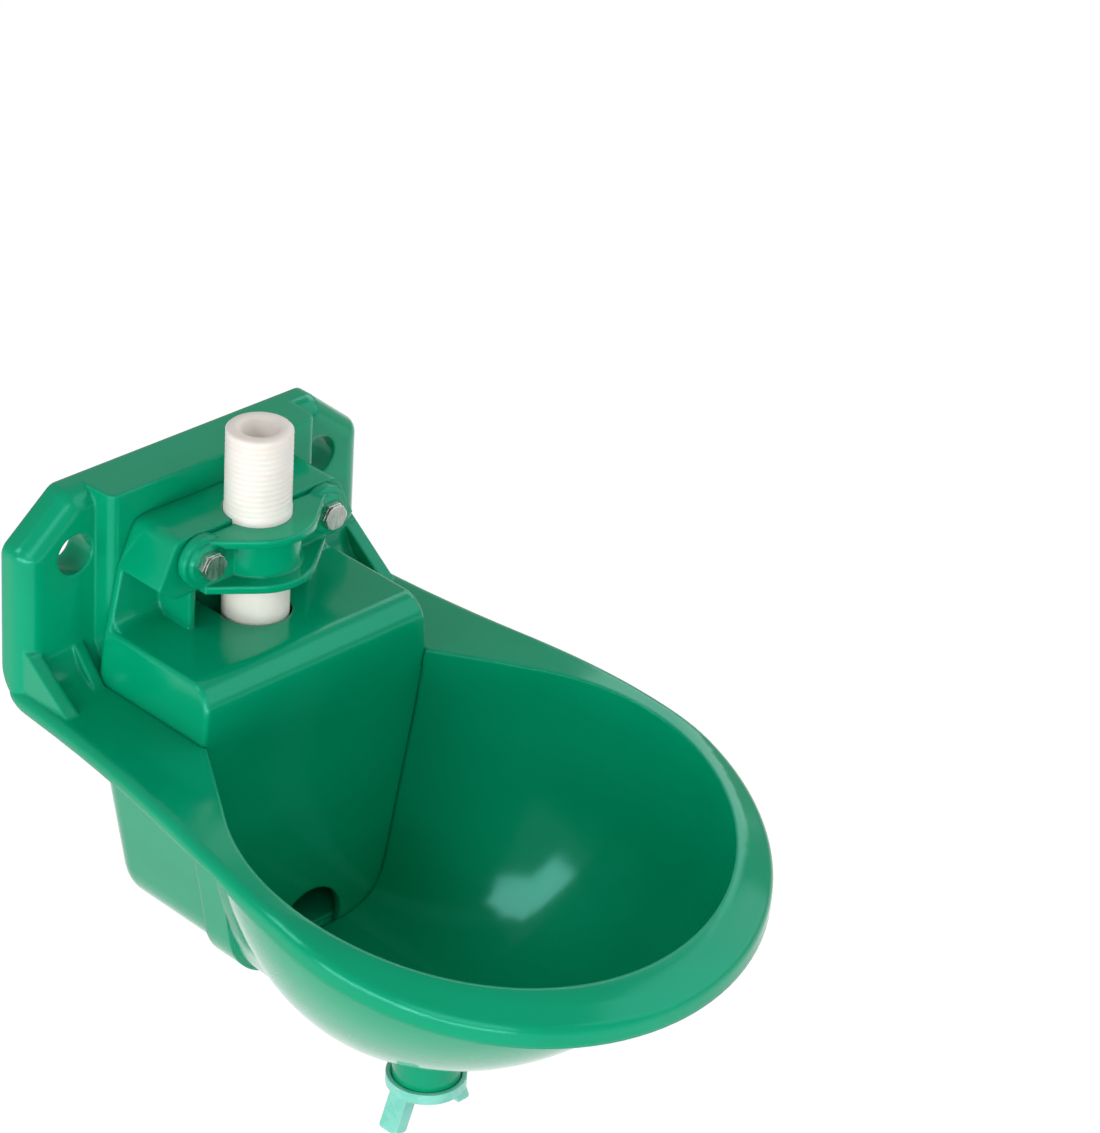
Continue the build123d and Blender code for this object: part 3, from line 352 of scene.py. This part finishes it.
def pipe_steps():
    """Tree of a pipe whose upper end carries a shallow rounded thread.

    A flat grid is wrapped round: across it runs the angle, and up it run the rows of
    the outer wall, the top edge, the bore and the lower edge, which meets the first row.
    """
    steps = Steps("threaded_pipe", {
        "Crest Radius": 0.01, "Plain Radius": 0.01, "Bore Radius": 0.005,
        "Centre Y": 0.0, "Bottom": 0.0, "Top": 0.1, "Edge": 0.0005,
        "Thread Bottom": 0.05, "Pitch": 0.002, "Thread Depth": 0.0003,
        "Segments": 96, "Plain Rows": 6, "Thread Rows": 110, "Material": None,
    })
    size, sums = steps.size, steps.sums
    outer_rows = sums("ADD", size("Plain Rows"), size("Thread Rows"))
    all_rows = sums("ADD", outer_rows, 5)
    grid = steps.node("GeometryNodeMeshGrid", {
        "Size X": 1.0, "Size Y": 1.0,
        "Vertices X": sums("ADD", size("Segments"), 1), "Vertices Y": sums("ADD", all_rows, 1),
    }).outputs["Mesh"]
    across = steps.node("ShaderNodeSeparateXYZ", {0: steps.node("GeometryNodeInputPosition").outputs[0]})
    angle = sums("MULTIPLY", sums("ADD", across.outputs["X"], 0.5), math.tau)
    row = sums("ROUND", sums("MULTIPLY", sums("ADD", across.outputs["Y"], 0.5), all_rows), 0)
    plain_share = sums("DIVIDE", row, size("Plain Rows"))
    thread_share = sums("DIVIDE", sums("SUBTRACT", row, size("Plain Rows")), size("Thread Rows"))
    wall_top = sums("SUBTRACT", size("Top"), size("Edge"))
    thread_length = sums("SUBTRACT", wall_top, size("Thread Bottom"))
    plain_length = sums("SUBTRACT", size("Thread Bottom"), size("Bottom"))
    on_thread = sums("GREATER_THAN", row, size("Plain Rows"))
    wall_height = steps.choose(
        on_thread,
        sums("MULTIPLY_ADD", plain_share, plain_length, size("Bottom")),
        sums("MULTIPLY_ADD", thread_share, thread_length, size("Thread Bottom")),
    )
    climb = sums("DIVIDE", sums("SUBTRACT", wall_height, size("Thread Bottom")), size("Pitch"))
    turn = sums("MULTIPLY", sums("SUBTRACT", climb, sums("DIVIDE", angle, math.tau)), math.tau)
    valley = sums("MULTIPLY_ADD", sums("COSINE", turn), -0.5, 0.5)
    run_in = sums("MINIMUM", sums("MAXIMUM", climb, 0.0), 1.0)
    groove = sums("MULTIPLY", sums("MULTIPLY", valley, run_in), size("Thread Depth"))
    wall_radius = steps.choose(on_thread, size("Plain Radius"), sums("SUBTRACT", size("Crest Radius"), groove))
    stage = sums("MAXIMUM", sums("SUBTRACT", row, outer_rows), 0.0)
    radius = steps.choose(
        stage, wall_radius,
        sums("SUBTRACT", size("Crest Radius"), size("Edge")), sums("ADD", size("Bore Radius"), size("Edge")),
        size("Bore Radius"), size("Bore Radius"), size("Plain Radius"),
    )
    height = steps.choose(
        stage, wall_height, size("Top"), size("Top"), wall_top, size("Bottom"), size("Bottom"),
    )
    place = steps.node("ShaderNodeCombineXYZ", {
        "X": sums("MULTIPLY", radius, sums("COSINE", angle)),
        "Y": sums("MULTIPLY_ADD", radius, sums("SINE", angle), size("Centre Y")),
        "Z": height,
    }).outputs[0]
    wrapped = steps.node("GeometryNodeSetPosition", {"Geometry": grid, "Position": place}).outputs[0]
    closed = steps.node("GeometryNodeMergeByDistance", {"Geometry": wrapped, "Distance": 1e-6}).outputs[0]
    steps.finish(steps.node("GeometryNodeSetShadeSmooth", {"Geometry": closed}).outputs[0])
    return steps


def make_pipe(material):
    """The inlet pipe with its thread, in place of the plain CAD pipe."""
    pipe = grown("inlet_pipe_threaded", pipe_steps(), {
        "Crest Radius": PIPE_CREST_RADIUS, "Plain Radius": PIPE_PLAIN_RADIUS, "Bore Radius": PIPE_BORE_RADIUS,
        "Centre Y": PIPE_CENTRE_Y, "Bottom": PIPE_BOTTOM, "Top": PIPE_TOP, "Edge": PIPE_EDGE,
        "Thread Bottom": PIPE_THREAD_BOTTOM, "Pitch": THREAD_PITCH, "Thread Depth": THREAD_DEPTH,
        "Material": material,
    })
    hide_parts("inlet_pipe")
    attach(pipe, "riser")


def paint(material, *names):
    """Gives these CAD nodes a material."""
    for name in names:
        for held in nodes[name].material_slots:
            held.material = material


def softbox(name, place, target, width, height, power):
    """A rectangular studio lamp that faces its target."""
    data = bpy.data.lights.new(name, "AREA")
    data.shape = "RECTANGLE"
    data.size = width
    data.size_y = height
    data.energy = power
    lamp = bpy.data.objects.new(name, data)
    bpy.context.scene.collection.objects.link(lamp)
    away = Vector(place) - Vector(target)
    lamp.matrix_world = Matrix.Translation(place) @ away.to_track_quat("Z", "Y").to_matrix().to_4x4()


def white_behind(graph, lit, strength=1.0, share=1.0, mirrored=1.0, glare=0.0):
    """The lit shader, mixed with plain white where it is seen straight, in a mirror or through glass."""
    paths = graph.node("ShaderNodeLightPath").outputs
    seen = graph.sums("MAXIMUM", paths["Is Camera Ray"], paths["Is Transmission Ray"])
    seen = graph.sums("MAXIMUM", seen, graph.sums("MULTIPLY", paths["Is Glossy Ray"], mirrored))
    brightness = graph.sums("MULTIPLY_ADD", paths["Is Glossy Ray"], glare, strength)
    kind = "ShaderNodeBackground" if lit.node.type == "BACKGROUND" else "ShaderNodeEmission"
    white = graph.node(kind, {"Color": WHITE, "Strength": brightness}).outputs[0]
    white_share = graph.sums("MULTIPLY", seen, share)
    return graph.node("ShaderNodeMixShader", {0: white_share, 1: lit, 2: white}).outputs[0]


def make_floor():
    """White paper floor that takes the shadow, clear when it is seen from below."""
    half = FLOOR_SIZE / 2
    corners = [(x, y, FLOOR_HEIGHT) for x, y in ((-half, -half), (half, -half), (half, half), (-half, half))]
    mesh = bpy.data.meshes.new("studio_floor")
    mesh.from_pydata(corners, [], [(0, 1, 2, 3)])
    floor = bpy.data.objects.new("studio_floor", mesh)
    bpy.context.scene.collection.objects.link(floor)
    paper = Shader("studio_paper")
    paper.set(Base_Color=PAPER_GREY, Roughness=PAPER_ROUGHNESS)
    top = white_behind(paper, paper.surface.outputs[0], PAPER_GLOW, PAPER_GLOW_SHARE, glare=PAPER_GLARE)
    below = paper.node("ShaderNodeBsdfTransparent").outputs[0]
    side = paper.node("ShaderNodeNewGeometry").outputs["Backfacing"]
    one_sided = paper.node("ShaderNodeMixShader", {0: side, 1: top, 2: below}).outputs[0]
    paper.feed(paper.tree.nodes["Material Output"].inputs["Surface"], one_sided)
    mesh.materials.append(paper.material)


def make_room():
    """Soft even light from all round, which the camera sees as white."""
    world = bpy.data.worlds.new("studio_room")
    bpy.context.scene.world = world
    world.use_nodes = True
    room = Nodes(world.node_tree)
    glow = room.tree.nodes["Background"]
    room.feed(glow.inputs["Color"], WHITE)
    room.feed(glow.inputs["Strength"], ROOM_LIGHT)
    seen = white_behind(room, glow.outputs[0], mirrored=ROOM_IN_MIRRORS)
    room.feed(room.tree.nodes["World Output"].inputs["Surface"], seen)


place_camera()
green = moulded_green()
white = pipe_white()
steel = plated_steel()
rubber = seal_rubber()
grey = float_grey()
paint(green, "bowl_body", "float_cover", "pipe_clamp")
paint(white, "inlet_pipe", "valve_body", "valve_plunger", "float_lever")
paint(steel, "clamp_bolts", "clamp_washers", "clamp_nuts", "lever_pin", "pin_clip", "float_screw")
paint(rubber, "seat_washer", "plunger_seal", "drain_seal")
paint(grey, "float_shell", "float_lid")
paint(seat_brass(), "valve_seat")
paint(plug_mint(), "drain_plug")
make_pipe(white)
make_floor()
make_room()
for lamp_name, lamp in LAMPS.items():
    softbox(lamp_name, *lamp)

bpy.context.scene.view_settings.view_transform = "Standard"
